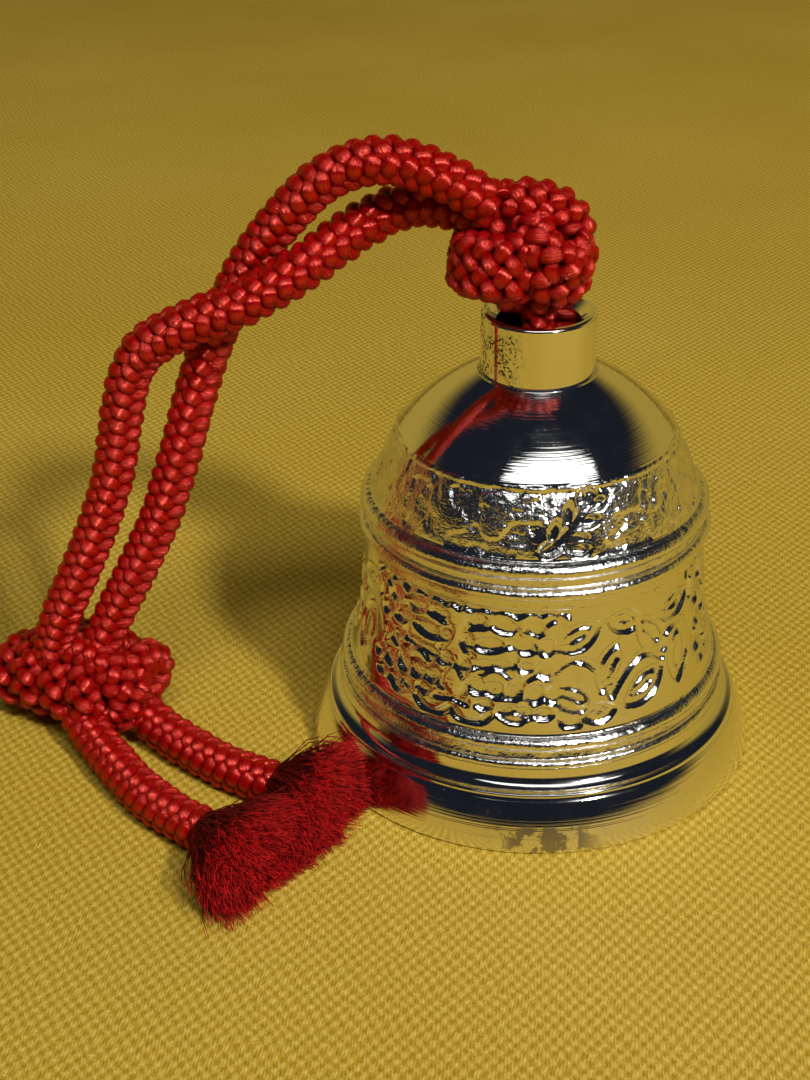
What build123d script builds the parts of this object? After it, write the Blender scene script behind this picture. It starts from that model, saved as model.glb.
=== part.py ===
"""Small cast hand bell on a doubled braided cord, standing on its mouth.

Frame: millimetres, +Z up along the bell's axis, origin at the centre of the mouth
on the surface that the bell stands on. The cord falls away towards -X.
"""
from build123d import *
from math import cos, radians, sin, tan
import os

os.makedirs("parts", exist_ok=True)

# ---- Bell shell ------------------------------------------------------------------
MOUTH_RADIUS = 33.0
LIP_RADIUS = 30.3          # edge of the step above the flared foot
LIP_HEIGHT = 8.0
WAIST_RADIUS = 28.1
WAIST_HEIGHT = 9.7
SHOULDER_RADIUS = 19.3     # ring line where the dome starts
SHOULDER_HEIGHT = 50.1
CROWN_RADIUS = 8.2
CROWN_HEIGHT = 58.3
SEAT_HEIGHT = 57.8         # flat under the collar
INNER_MOUTH_RADIUS = 29.8
UNDER_CROWN_HEIGHT = 54.4

# ---- Collar ----------------------------------------------------------------------
COLLAR_RADIUS = 7.9
COLLAR_TOP = 66.8
BORE_RADIUS = 5.8
SPIGOT_RADIUS = 6.9
SPIGOT_FIT = 0.02
COUNTERSINK = 1.3

# ---- Hanger ring and clapper -----------------------------------------------------
BIGHT_TUBE = 2.3           # cord squeezed inside the bore
BIGHT_OFFSET = 3.2         # from the axis to each leg, and the radius of the fold
BIGHT_HEIGHT = 53.0        # centre of the fold, where the ring hangs
RING_RADIUS = 5.4
RING_WIRE = 0.75
EYE_RADIUS = 1.8
EYE_WIRE = 0.7
ROD_RADIUS = 0.9
BALL_RADIUS = 5.5
BALL_HEIGHT = 14.0
BALL_FIT = 0.03
RIVET_RADIUS = 1.7

# ---- Cord ------------------------------------------------------------------------
CORD_RADIUS = 3.15
KNOT_BASE = 67.1           # flat underside of the upper knot, just above the collar
UPPER_KNOT_X = -2.7
LOWER_KNOT_CENTRE = (-68.0, -3.2, 7.5)
LOWER_KNOT_TURN = -27.0    # heading of its long axis in plan, in degrees
LOWER_KNOT_HALF = 15.0
LOWER_KNOT_RADIUS = 7.3
RUN_SHARE = 0.45           # share of the shorter run that each bend may use

STRAND_A = [
    (-6.2, -2.8, 82.0), (-12.8, -3.4, 86.4), (-19.8, -3.9, 88.7), (-27.0, -3.4, 86.8),
    (-33.2, -1.7, 80.8), (-38.8, 0.2, 73.6), (-43.5, 0.2, 65.2), (-47.2, -2.0, 55.8),
    (-49.8, -4.2, 46.2), (-53.2, -4.6, 36.4), (-57.8, -5.0, 27.0), (-62.4, -5.4, 18.6),
    (-65.6, -5.2, 11.0),
]
STRAND_B = [
    (-6.0, 4.2, 77.4), (-12.0, 4.0, 80.2), (-19.0, 2.9, 80.4), (-25.8, -0.6, 77.2),
    (-32.6, -5.2, 72.9), (-40.2, -7.4, 69.2), (-48.0, -7.3, 66.4), (-54.8, -5.8, 61.6),
    (-57.6, -5.0, 52.6), (-59.2, -5.2, 43.8), (-62.4, -5.5, 35.0), (-66.4, -5.8, 26.2),
    (-70.6, -5.9, 18.0), (-72.6, -4.6, 10.0),
]
TAIL_A = [
    (-63.0, -5.2, 6.6), (-58.0, -9.0, 4.4), (-52.4, -13.4, 3.4), (-46.4, -18.0, 3.3),
    (-40.2, -22.0, 3.4), (-34.6, -24.6, 3.9),
]
TAIL_B = [
    (-68.4, -9.0, 5.4), (-64.4, -14.2, 3.8), (-60.0, -19.8, 3.3), (-55.0, -26.0, 3.3),
    (-49.4, -31.4, 3.4), (-43.4, -35.6, 3.8),
]
TASSEL_A_TIP = (-28.2, -28.8, 5.6)
TASSEL_B_TIP = (-31.4, -45.2, 5.6)
TASSEL_HALF_WIDTH = 8.2
TASSEL_HALF_HEIGHT = 5.2


def write(piece, name):
    """Label a finished piece and write its STEP file."""
    piece.part.label = name
    export_step(piece.part, f"parts/{name}.step")


def bend_radii(points):
    """One radius per corner: as large as its two runs allow."""
    corners = [Vector(*point) for point in points]
    radii = []
    for before, here, after in zip(corners, corners[1:], corners[2:]):
        turn = (here - before).get_angle(after - here)
        shorter = min((here - before).length, (after - here).length)
        radii.append(RUN_SHARE * shorter / tan(radians(turn) / 2))
    return radii


def cord_tube(points, name):
    """A round tube along straight runs joined by tangent arcs."""
    radii = bend_radii(points)
    with BuildPart() as tube:
        with BuildLine():
            route = FilletPolyline(*points, radius=radii)
        with BuildSketch(Plane(origin=route @ 0, z_dir=route % 0)):
            Circle(CORD_RADIUS)
        sweep()
    section = tube.part.volume / route.length
    rounded = [round(radius, 1) for radius in radii]
    print(f"{name}: length {route.length:.1f} mm, section {section:.2f} mm2, bends {rounded}")
    return tube


def tassel(root, tip):
    """A loose tuft that widens from the cord's end to its trimmed tips."""
    start = Vector(*root)
    end = Vector(*tip)
    along = (end - start).normalized()
    across = Vector(0, 0, 1).cross(along).normalized()
    with BuildPart() as tuft:
        with BuildSketch(Plane(origin=start, x_dir=across, z_dir=along)):
            Ellipse(CORD_RADIUS, CORD_RADIUS * 0.95)
        with BuildSketch(Plane(origin=end, x_dir=across, z_dir=along)):
            Ellipse(TASSEL_HALF_WIDTH, TASSEL_HALF_HEIGHT)
        loft()
    return tuft


# ---- Bell body: one revolved casting ---------------------------------------------
with BuildPart() as bell_body:
    with BuildSketch(Plane.XZ):
        with BuildLine():
            # Foot: flat rim, rounded flare and the step above it
            Polyline((INNER_MOUTH_RADIUS, 0), (MOUTH_RADIUS - 0.3, 0), (MOUTH_RADIUS, 0.3))
            ThreePointArc((MOUTH_RADIUS, 0.3), (31.95, 4.0), (LIP_RADIUS + 0.3, 7.1))
            Polyline((LIP_RADIUS + 0.3, 7.1), (LIP_RADIUS, 7.3), (LIP_RADIUS, LIP_HEIGHT))
            ThreePointArc((LIP_RADIUS, LIP_HEIGHT), (28.75, 8.5), (WAIST_RADIUS, WAIST_HEIGHT))
            # Two round beads below the middle band
            Line((WAIST_RADIUS, WAIST_HEIGHT), (28.0, 10.8))
            ThreePointArc((28.0, 10.8), (28.35, 11.5), (27.6, 12.0))
            Line((27.6, 12.0), (27.3, 13.3))
            ThreePointArc((27.3, 13.3), (27.95, 14.4), (26.9, 15.3))
            # Middle band's ground
            Line((26.9, 15.3), (26.7, 16.4))
            ThreePointArc((26.7, 16.4), (25.15, 25.0), (24.3, 34.0))
            # Two round beads above the middle band
            Line((24.3, 34.0), (24.2, 35.3))
            ThreePointArc((24.2, 35.3), (24.9, 36.2), (23.9, 37.0))
            Line((23.9, 37.0), (23.8, 38.3))
            ThreePointArc((23.8, 38.3), (24.6, 39.5), (23.4, 40.6))
            # Upper band's ground, then the polished dome
            ThreePointArc((23.4, 40.6), (21.75, 45.4), (SHOULDER_RADIUS, SHOULDER_HEIGHT))
            ThreePointArc((SHOULDER_RADIUS, SHOULDER_HEIGHT), (14.1, 54.9), (CROWN_RADIUS, CROWN_HEIGHT))
            # Seat and hole for the collar
            Polyline((CROWN_RADIUS, CROWN_HEIGHT), (CROWN_RADIUS, SEAT_HEIGHT),
                     (SPIGOT_RADIUS + SPIGOT_FIT, SEAT_HEIGHT),
                     (SPIGOT_RADIUS + SPIGOT_FIT, UNDER_CROWN_HEIGHT))
            # Hollow inside
            ThreePointArc((SPIGOT_RADIUS + SPIGOT_FIT, UNDER_CROWN_HEIGHT), (13.2, 51.3), (17.7, 44.6))
            Polyline((17.7, 44.6), (20.9, 33.0), (23.3, 17.0), (26.0, 8.0), (INNER_MOUTH_RADIUS, 0))
        make_face()
    revolve(axis=Axis.Z)
write(bell_body, "bell_body")

# ---- Collar: turned tube pressed into the crown ----------------------------------
with BuildPart() as neck_collar:
    with BuildSketch(Plane.XZ):
        with BuildLine():
            Polyline((BORE_RADIUS, UNDER_CROWN_HEIGHT), (SPIGOT_RADIUS, UNDER_CROWN_HEIGHT),
                     (SPIGOT_RADIUS, SEAT_HEIGHT), (COLLAR_RADIUS, SEAT_HEIGHT),
                     (COLLAR_RADIUS, COLLAR_TOP - 0.5))
            ThreePointArc((COLLAR_RADIUS, COLLAR_TOP - 0.5), (COLLAR_RADIUS - 0.15, COLLAR_TOP - 0.15),
                          (COLLAR_RADIUS - 0.5, COLLAR_TOP))
            Polyline((COLLAR_RADIUS - 0.5, COLLAR_TOP), (BORE_RADIUS + COUNTERSINK, COLLAR_TOP),
                     (BORE_RADIUS, COLLAR_TOP - COUNTERSINK), (BORE_RADIUS, UNDER_CROWN_HEIGHT))
        make_face()
    revolve(axis=Axis.Z)
write(neck_collar, "neck_collar")

# ---- Bight: the cord's fold, down the bore and round the hanger ring -------------
with BuildPart() as cord_bight:
    with BuildLine() as fold:
        Line((0, -BIGHT_OFFSET, KNOT_BASE), (0, -BIGHT_OFFSET, BIGHT_HEIGHT))
        ThreePointArc((0, -BIGHT_OFFSET, BIGHT_HEIGHT), (0, 0, BIGHT_HEIGHT - BIGHT_OFFSET),
                      (0, BIGHT_OFFSET, BIGHT_HEIGHT))
        Line((0, BIGHT_OFFSET, BIGHT_HEIGHT), (0, BIGHT_OFFSET, KNOT_BASE))
    with BuildSketch(Plane(origin=fold.line @ 0, z_dir=fold.line % 0)):
        Circle(BIGHT_TUBE)
    sweep()
write(cord_bight, "cord_bight")

# ---- Hanger ring: too wide for the bore, so it holds the cord in -----------------
ring_centre = BIGHT_HEIGHT - RING_RADIUS
with BuildPart() as hanger_ring:
    with BuildSketch(Plane.XY.offset(ring_centre)):
        with Locations((RING_RADIUS, 0)):
            Circle(RING_WIRE)
    revolve(axis=Axis((0, 0, ring_centre), (0, 1, 0)))
write(hanger_ring, "hanger_ring")

# ---- Clapper: a wire rod with an eye, riveted through a ball ---------------------
eye_centre = ring_centre - RING_RADIUS
rod_top = eye_centre - EYE_RADIUS - EYE_WIRE / 2
rod_bottom = BALL_HEIGHT - BALL_RADIUS - 0.2
with BuildPart() as clapper_rod:
    with BuildSketch(Plane.XY.offset(eye_centre)):
        with Locations((0, EYE_RADIUS)):
            Circle(EYE_WIRE)
    revolve(axis=Axis((0, 0, eye_centre), (1, 0, 0)))
    with BuildSketch(Plane.XY.offset(rod_bottom)):
        Circle(ROD_RADIUS)
    extrude(amount=rod_top - rod_bottom)
    with BuildSketch(Plane.XY.offset(rod_bottom - 0.6)):
        Circle(RIVET_RADIUS)
    extrude(amount=0.8)
write(clapper_rod, "clapper_rod")

with BuildPart() as clapper_ball:
    with Locations((0, 0, BALL_HEIGHT)):
        Sphere(BALL_RADIUS)
    with Locations((0, 0, BALL_HEIGHT)):
        Cylinder(ROD_RADIUS + BALL_FIT, 3 * BALL_RADIUS, mode=Mode.SUBTRACT)
    with Locations((0, 0, rod_bottom - 0.4)):
        Cylinder(2 * RIVET_RADIUS, 1.2, mode=Mode.SUBTRACT)
write(clapper_ball, "clapper_ball")

# ---- Upper knot: rests on the collar ---------------------------------------------
with BuildPart() as upper_knot:
    with BuildSketch(Plane.XZ.shift_origin((UPPER_KNOT_X, 0, 0))):
        with BuildLine():
            Polyline((0, 85.6), (0, KNOT_BASE), (6.7, KNOT_BASE))
            Spline((6.7, KNOT_BASE), (9.9, 75.4), (6.4, 83.2), (0, 85.6), tangents=((1, 0.6), (-1, 0)))
        make_face()
    revolve(axis=Axis((UPPER_KNOT_X, 0, 0), (0, 0, 1)))
write(upper_knot, "upper_knot")

# ---- The two strands from the upper knot to the lower one ------------------------
write(cord_tube(STRAND_A, "cord_strand_a"), "cord_strand_a")
write(cord_tube(STRAND_B, "cord_strand_b"), "cord_strand_b")

# ---- Lower knot: lies on the table -----------------------------------------------
knot_plane = Plane(
    origin=LOWER_KNOT_CENTRE,
    x_dir=(cos(radians(LOWER_KNOT_TURN)), sin(radians(LOWER_KNOT_TURN)), 0),
    z_dir=(0, 0, 1),
)
with BuildPart() as lower_knot:
    with BuildSketch(knot_plane):
        with BuildLine():
            Line((-LOWER_KNOT_HALF, 0), (LOWER_KNOT_HALF, 0))
            Spline((LOWER_KNOT_HALF, 0), (9.0, 6.4), (0, LOWER_KNOT_RADIUS), (-9.0, 6.4),
                   (-LOWER_KNOT_HALF, 0), tangents=((0, 1), (0, -1)))
        make_face()
    revolve(axis=Axis(LOWER_KNOT_CENTRE, knot_plane.x_dir))
write(lower_knot, "lower_knot")

# ---- Tails and their tassels -----------------------------------------------------
write(cord_tube(TAIL_A, "cord_tail_a"), "cord_tail_a")
write(cord_tube(TAIL_B, "cord_tail_b"), "cord_tail_b")
write(tassel(TAIL_A[-1], TASSEL_A_TIP), "tassel_a")
write(tassel(TAIL_B[-1], TASSEL_B_TIP), "tassel_b")
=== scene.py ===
"""Looks of a small chromed hand bell on a doubled red braided cord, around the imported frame.

Everything is in metres, in the frame of the CAD model: +Z up, origin at the centre of the mouth.
"""
import math

import bpy
import numpy as np
from mathutils import Matrix, Vector


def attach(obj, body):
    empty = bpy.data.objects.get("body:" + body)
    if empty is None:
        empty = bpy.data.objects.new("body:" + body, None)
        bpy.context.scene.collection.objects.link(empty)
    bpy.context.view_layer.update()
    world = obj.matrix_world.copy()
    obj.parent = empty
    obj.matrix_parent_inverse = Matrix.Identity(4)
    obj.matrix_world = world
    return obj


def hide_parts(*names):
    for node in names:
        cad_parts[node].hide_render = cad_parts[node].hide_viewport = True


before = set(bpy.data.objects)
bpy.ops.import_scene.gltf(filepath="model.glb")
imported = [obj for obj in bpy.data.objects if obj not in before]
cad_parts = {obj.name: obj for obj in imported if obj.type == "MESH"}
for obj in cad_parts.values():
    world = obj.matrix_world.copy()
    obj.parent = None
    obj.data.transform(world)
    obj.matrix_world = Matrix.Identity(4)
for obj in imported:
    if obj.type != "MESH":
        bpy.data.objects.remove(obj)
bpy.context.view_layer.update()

MM = 0.001
BELL_BODY = "bell"
CORD_BODY = "cord"


# ---- Camera ----
CAMERA_PLACE = (0.0, -0.2169, 0.1508)
CAMERA_YAW = math.radians(-4.92)      # turned towards -X
CAMERA_PITCH = math.radians(28.91)    # looking down
CAMERA_ROLL = math.radians(-0.88)
CAMERA_ANGLE = math.radians(35.25)    # over the picture's height


def make_camera():
    """A camera standing in front of the bell and looking down on it."""
    data = bpy.data.cameras.new("camera")
    data.sensor_fit = "VERTICAL"
    data.angle = CAMERA_ANGLE
    data.clip_start = 0.005
    camera = bpy.data.objects.new("camera", data)
    bpy.context.collection.objects.link(camera)
    forward = Vector((
        math.sin(CAMERA_YAW) * math.cos(CAMERA_PITCH),
        math.cos(CAMERA_YAW) * math.cos(CAMERA_PITCH),
        -math.sin(CAMERA_PITCH),
    ))
    right = Vector((math.cos(CAMERA_YAW), -math.sin(CAMERA_YAW), 0))
    right = Matrix.Rotation(-CAMERA_ROLL, 3, forward) @ right
    up = right.cross(forward)
    turn = Matrix((right, up, -forward)).transposed()
    camera.matrix_world = Matrix.Translation(CAMERA_PLACE) @ turn.to_4x4()
    bpy.context.scene.camera = camera


# ---- Meshes ----
def mesh_piece(name, points, faces, materials, uv=None, which=None, smooth=True):
    """A mesh object from arrays; a face whose last two corners are the same is a triangle.

    uv has one pair per face corner, and which is each face's place in the list of materials.
    """
    points = np.asarray(points, dtype=np.float32)
    faces = np.asarray(faces, dtype=np.int32)
    kept = np.ones(faces.shape, dtype=bool)
    kept[:, 3] = faces[:, 2] != faces[:, 3]
    order = np.argsort(~kept[:, 3], kind="stable")
    kept = kept[order]
    loops = faces[order][kept]
    starts = np.concatenate([[0], np.cumsum(kept.sum(axis=1))[:-1]]).astype(np.int32)
    mesh = bpy.data.meshes.new(name)
    mesh.vertices.add(len(points))
    mesh.vertices.foreach_set("co", points.ravel())
    mesh.loops.add(len(loops))
    mesh.loops.foreach_set("vertex_index", loops)
    mesh.polygons.add(len(faces))
    mesh.polygons.foreach_set("loop_start", starts)
    mesh.update(calc_edges=True)
    mesh.polygons.foreach_set("use_smooth", np.full(len(faces), smooth))
    if uv is not None:
        corner_uv = uv.reshape(-1, 4, 2)[order][kept].astype(np.float32)
        mesh.uv_layers.new(name="UVMap").data.foreach_set("uv", corner_uv.ravel())
    for material in materials:
        mesh.materials.append(material)
    if which is not None:
        mesh.polygons.foreach_set("material_index", which[order].astype(np.int32))
    mesh.validate()
    piece = bpy.data.objects.new(name, mesh)
    bpy.context.collection.objects.link(piece)
    return piece


def grid_faces(rows, columns, wrap_columns=True, first=0):
    """Quads of a rows x columns grid of points, closed round its columns."""
    row = np.arange(rows - 1)[:, None]
    column = np.arange(columns if wrap_columns else columns - 1)[None, :]
    beside = (column + 1) % columns
    quads = np.stack([
        row * columns + column, row * columns + beside,
        (row + 1) * columns + beside, (row + 1) * columns + column,
    ], axis=-1)
    return quads.reshape(-1, 4) + first


def unit(vectors):
    """Vectors scaled to length 1."""
    return vectors / np.maximum(np.linalg.norm(vectors, axis=-1, keepdims=True), 1e-12)


# ---- Cord routes ----
CORD_RADIUS = 3.15 * MM
BRAID_PITCH = 2.25 * MM       # from one bundle to the next along a column
BRAID_SAMPLES = 12            # rings of points for each bundle
YARN_SIDES = 12
YARNS_EACH_WAY = 3
BUNDLE_HEIGHT = 0.28          # half a bundle's height, as a share of the cord's radius
BUNDLE_SWING = 0.17           # how far a bundle rises and sinks from its middle depth
BUNDLE_WIDTH = 0.315          # half its width
BUNDLE_LIFT = (0.07, 0.2)     # how much wider and higher it is where it lies on top
LOOSENESS = 0.035             # how unevenly the bundles are pulled in
PHASES = 6.3                  # range of a random phase, about a full turn in radians
LINE_ROUNDINGS = 6            # smoothing passes over an evenly spaced line
SAME_PLACE = 1e-9             # points nearer than this are one point

STRAND_A = [
    (-6.2, -2.8, 82.0), (-12.8, -3.4, 86.4), (-19.8, -3.9, 88.7), (-27.0, -3.4, 86.8),
    (-33.2, -1.7, 80.8), (-38.8, 0.2, 73.6), (-43.5, 0.2, 65.2), (-47.2, -2.0, 55.8),
    (-49.8, -4.2, 46.2), (-53.2, -4.6, 36.4), (-57.8, -5.0, 27.0), (-62.4, -5.4, 18.6),
    (-65.6, -5.2, 11.0),
]
STRAND_B = [
    (-6.0, 4.2, 77.4), (-12.0, 4.0, 80.2), (-19.0, 2.9, 80.4), (-25.8, -0.6, 77.2),
    (-32.6, -5.2, 72.9), (-40.2, -7.4, 69.2), (-48.0, -7.3, 66.4), (-54.8, -5.8, 61.6),
    (-57.6, -5.0, 52.6), (-59.2, -5.2, 43.8), (-62.4, -5.5, 35.0), (-66.4, -5.8, 26.2),
    (-70.6, -5.9, 18.0), (-72.6, -4.6, 10.0),
]
TAIL_A = [
    (-63.0, -5.2, 6.6), (-58.0, -9.0, 4.4), (-52.4, -13.4, 3.4), (-46.4, -18.0, 3.3),
    (-40.2, -22.0, 3.4), (-34.6, -24.6, 3.9),
]
TAIL_B = [
    (-68.4, -9.0, 5.4), (-64.4, -14.2, 3.8), (-60.0, -19.8, 3.3), (-55.0, -26.0, 3.3),
    (-49.4, -31.4, 3.4), (-43.4, -35.6, 3.8),
]

BIGHT_RADIUS = 2.35 * MM
BIGHT = [
    (0.0, -3.2, 70.0), (0.0, -3.2, 62.0), (0.0, -3.2, 54.0), (0.0, -3.0, 49.8), (0.0, 3.0, 49.8),
    (0.0, 3.2, 54.0), (0.0, 3.2, 62.0), (0.0, 3.2, 70.0),
]


def smooth_line(points):
    """Close points along the NURBS spline that has these control points, given in millimetres."""
    curve = bpy.data.curves.new("route", "CURVE")
    curve.dimensions = "3D"
    curve.resolution_u = 24
    spline = curve.splines.new("NURBS")
    spline.points.add(len(points) - 1)
    for place, point in zip(spline.points, points):
        place.co = (point[0] * MM, point[1] * MM, point[2] * MM, 1)
    spline.order_u = 3
    spline.use_endpoint_u = True
    holder = bpy.data.objects.new("route", curve)
    bpy.context.collection.objects.link(holder)
    bpy.context.view_layer.update()
    line = bpy.data.meshes.new_from_object(holder)
    found = np.array([vertex.co[:] for vertex in line.vertices])
    bpy.data.objects.remove(holder)
    bpy.data.curves.remove(curve)
    bpy.data.meshes.remove(line)
    return found


def gaps(line):
    """The distance from each point of a line to the next."""
    return np.linalg.norm(np.diff(line, axis=0), axis=1)


def even_line(line, step):
    """The same line with points evenly spaced along it."""
    line = line[np.concatenate([[True], gaps(line) > SAME_PLACE])]
    along = np.concatenate([[0], np.cumsum(gaps(line))])
    count = max(int(round(along[-1] / step)), 4)
    places = np.linspace(0, along[-1], count + 1)
    even = np.stack([np.interp(places, along, line[:, axis]) for axis in range(3)], axis=1)
    for _ in range(LINE_ROUNDINGS):
        even[1:-1] = 0.25 * even[:-2] + 0.5 * even[1:-1] + 0.25 * even[2:]
    return even


def carried_frames(line, outward=None):
    """Tangent, side and top along a line: without twist, or with the top towards outward."""
    tangent = unit(np.gradient(line, axis=0))
    if outward is not None:
        sides = unit(np.cross(outward, tangent))
        return tangent, sides, np.cross(tangent, sides)
    side = np.array((0.0, 1.0, 0.0))
    sides = []
    for direction in tangent:
        side = side - direction * np.dot(side, direction)
        side = side / np.linalg.norm(side)
        sides.append(side)
    sides = np.array(sides)
    return tangent, sides, np.cross(tangent, sides)


# ---- Braid ----
def braid_arrays(line, radius, seed, squeeze=(1.0, 1.0), outward=None):
    """Points, faces and uv of a round braid of plump yarn bundles that follows a line.

    Each yarn winds round the line and passes over and under the yarns that wind the other way.
    squeeze scales the braid along its side and its top.
    """
    random = np.random.default_rng(seed)
    frames = carried_frames(line, outward)
    count = len(line)
    along = np.arange(count) * gaps(line).mean()
    spacing = 2 * math.pi / YARNS_EACH_WAY
    sweep = along / BRAID_PITCH * spacing
    points, faces, uvs = [], [], []
    first = 0
    for way in (1, -1):
        for yarn in range(YARNS_EACH_WAY):
            angle = way * sweep + yarn * spacing
            lift = np.cos(YARNS_EACH_WAY * angle) * way
            phase = random.uniform(0, PHASES)
            loose = 1 + LOOSENESS * np.sin(along / BRAID_PITCH * 1.3 + phase)
            plump = random.uniform(0.95, 1.06)
            centre, section = yarn_section(line, frames, angle, lift, loose, plump, radius, squeeze)
            points.append(section.reshape(-1, 3))
            faces.append(grid_faces(count, YARN_SIDES, first=first))
            offset = 7.0 * (yarn + (YARNS_EACH_WAY if way < 0 else 0))
            uvs.append(yarn_uv(along / BRAID_PITCH + (0.5 if way < 0 else 0.0), offset))
            for rings, hub in ((0, centre[:1]), (count - 1, centre[-1:])):
                points.append(hub)
                faces.append(end_faces(first, rings, count, turned=rings == 0))
                uvs.append(np.zeros((YARN_SIDES * 4, 2)))
            first += count * YARN_SIDES + 2
    return np.concatenate(points), np.concatenate(faces), np.concatenate(uvs)


def yarn_section(line, frames, angle, lift, loose, plump, radius, squeeze):
    """A yarn's centreline and its oval rings of points."""
    _, side, top = frames
    half_height = BUNDLE_HEIGHT * radius
    swing = BUNDLE_SWING * radius
    distance = (radius - half_height - swing + swing * lift) * loose
    across = np.cos(angle) * squeeze[0]
    above = np.sin(angle) * squeeze[1]
    centre = line + side * (across * distance)[:, None] + top * (above * distance)[:, None]
    outer = side * across[:, None] / squeeze[0] ** 2 + top * above[:, None] / squeeze[1] ** 2
    heading = unit(np.gradient(centre, axis=0))
    flank = unit(np.cross(heading, unit(outer)))
    outer = np.cross(flank, heading)
    width = radius * (BUNDLE_WIDTH + BUNDLE_LIFT[0] * lift) * plump
    height = half_height * (1.0 + BUNDLE_LIFT[1] * lift)
    ring = np.arange(YARN_SIDES) / YARN_SIDES * 2 * math.pi
    section = (
        centre[:, None, :]
        + flank[:, None, :] * (width[:, None] * np.cos(ring))[:, :, None]
        + outer[:, None, :] * (height[:, None] * np.sin(ring))[:, :, None]
    )
    return centre, section


def yarn_uv(along, offset):
    """u is whole where the yarn passes over the others and v goes once round it from its flank."""
    count = len(along)
    column = np.arange(YARN_SIDES)[None, :] / YARN_SIDES + offset
    v_low = np.broadcast_to(column, (count - 1, YARN_SIDES))
    v_high = v_low + 1 / YARN_SIDES
    u_low = np.broadcast_to(along[:-1, None], (count - 1, YARN_SIDES))
    u_high = np.broadcast_to(along[1:, None], (count - 1, YARN_SIDES))
    corners = [(u_low, v_low), (u_low, v_high), (u_high, v_high), (u_high, v_low)]
    return np.stack([np.stack(corner, -1) for corner in corners], axis=2).reshape(-1, 2)


def end_faces(first, rings, count, turned):
    """Faces from one end ring of a yarn to its hub, which comes after all the rings."""
    here = np.arange(YARN_SIDES)
    after = (here + 1) % YARN_SIDES
    start = first + rings * YARN_SIDES
    hub = np.full(YARN_SIDES, first + count * YARN_SIDES + (0 if turned else 1))
    pair = (after, here) if turned else (here, after)
    return np.stack([start + pair[0], start + pair[1], hub, hub], axis=1)


def join_arrays(parts):
    """Several (points, faces, uv) sets as one."""
    points, faces, uvs, first = [], [], [], 0
    for part_points, part_faces, part_uv in parts:
        points.append(part_points)
        faces.append(part_faces + first)
        uvs.append(part_uv)
        first += len(part_points)
    return np.concatenate(points), np.concatenate(faces), np.concatenate(uvs)


def braided_piece(name, parts, material, shade_heart=None):
    """One object of yarns, round a heart coloured as painted shade if there is one."""
    points, faces, uv = join_arrays(parts + ([shade_heart] if shade_heart else []))
    if shade_heart is None:
        return mesh_piece(name, points, faces, [material], uv)
    in_shade_heart = np.arange(len(faces)) >= len(faces) - len(shade_heart[1])
    return mesh_piece(name, points, faces, [material, SHADE_HEART], uv, in_shade_heart)


# ---- Materials ----
class Nodes:
    """The nodes of a new material or world, with short calls. In their keywords _ is a space."""

    def __init__(self, name, kinds=bpy.data.materials, shader="Principled BSDF"):
        self.owner = kinds.new(name)
        self.owner.use_nodes = True
        self.tree = self.owner.node_tree
        self.shader = self.tree.nodes[shader]

    def add(self, kind, **values):
        """A node with values for its settings or its inputs."""
        node = self.tree.nodes.new(kind)
        for key, value in values.items():
            if hasattr(node, key):
                setattr(node, key, value)
            else:
                node.inputs[key.replace("_", " ")].default_value = value
        return node

    def link(self, source, target):
        """Joins an output to an input."""
        self.tree.links.new(source, target)

    def feed(self, **sources):
        """Joins outputs to the shader's inputs."""
        for key, source in sources.items():
            self.link(source, self.shader.inputs[key.replace("_", " ")])

    def set(self, **values):
        """Sets the shader's own inputs."""
        for key, value in values.items():
            self.shader.inputs[key.replace("_", " ")].default_value = value

    def math(self, operation, first, second=None, third=None):
        """The result of an operation on outputs or numbers."""
        node = self.add("ShaderNodeMath", operation=operation)
        for place, value in enumerate((first, second, third)):
            if isinstance(value, (int, float)):
                node.inputs[place].default_value = value
            elif value is not None:
                self.link(value, node.inputs[place])
        return node.outputs[0]

    def ramp(self, source, stops, colours=False):
        """Greys or colours that follow a value, from (value, grey or colour) stops."""
        node = self.add("ShaderNodeValToRGB")
        elements = node.color_ramp.elements
        while len(elements) < len(stops):
            elements.new(0.5)
        for element, (place, value) in zip(elements, stops):
            element.position = place
            element.color = (*value, 1) if colours else (value, value, value, 1)
        self.link(source, node.inputs[0])
        return node.outputs[0]

    def mapped(self, output="Object", scale=(1.0, 1.0, 1.0)):
        """Scaled coordinates of the surface."""
        mapping = self.add("ShaderNodeMapping", Scale=scale)
        self.link(self.add("ShaderNodeTexCoord").outputs[output], mapping.inputs["Vector"])
        return mapping.outputs[0]

    def split(self, vector):
        """The X, Y and Z outputs of a vector."""
        node = self.add("ShaderNodeSeparateXYZ")
        self.link(vector, node.inputs[0])
        return node.outputs

    def step(self, source, start, end):
        """0 where the source is at start, 1 where it is at end, with a soft change between."""
        node = self.add("ShaderNodeMapRange", interpolation_type="SMOOTHSTEP", From_Min=start, From_Max=end)
        self.link(source, node.inputs["Value"])
        return node.outputs["Result"]

    def noise(self, vector, scale, detail=2.0, roughness=0.5):
        """Noise from 0 to 1."""
        node = self.add("ShaderNodeTexNoise", Scale=scale, Detail=detail, Roughness=roughness)
        self.link(vector, node.inputs["Vector"])
        return node.outputs["Fac"]

    def bump(self, height, strength, distance, below=None):
        """A normal that follows a height, over another normal if there is one below."""
        node = self.add("ShaderNodeBump", Strength=strength, Distance=distance)
        self.link(height, node.inputs["Height"])
        if below is not None:
            self.link(below, node.inputs["Normal"])
        return node.outputs["Normal"]

    def shaded(self, colour, shade):
        """A colour multiplied by a shade."""
        node = self.add("ShaderNodeMix", data_type="RGBA", blend_type="MULTIPLY", Factor=1.0)
        self.link(colour, node.inputs["A"])
        self.link(shade, node.inputs["B"])
        return node.outputs["Result"]


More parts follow.
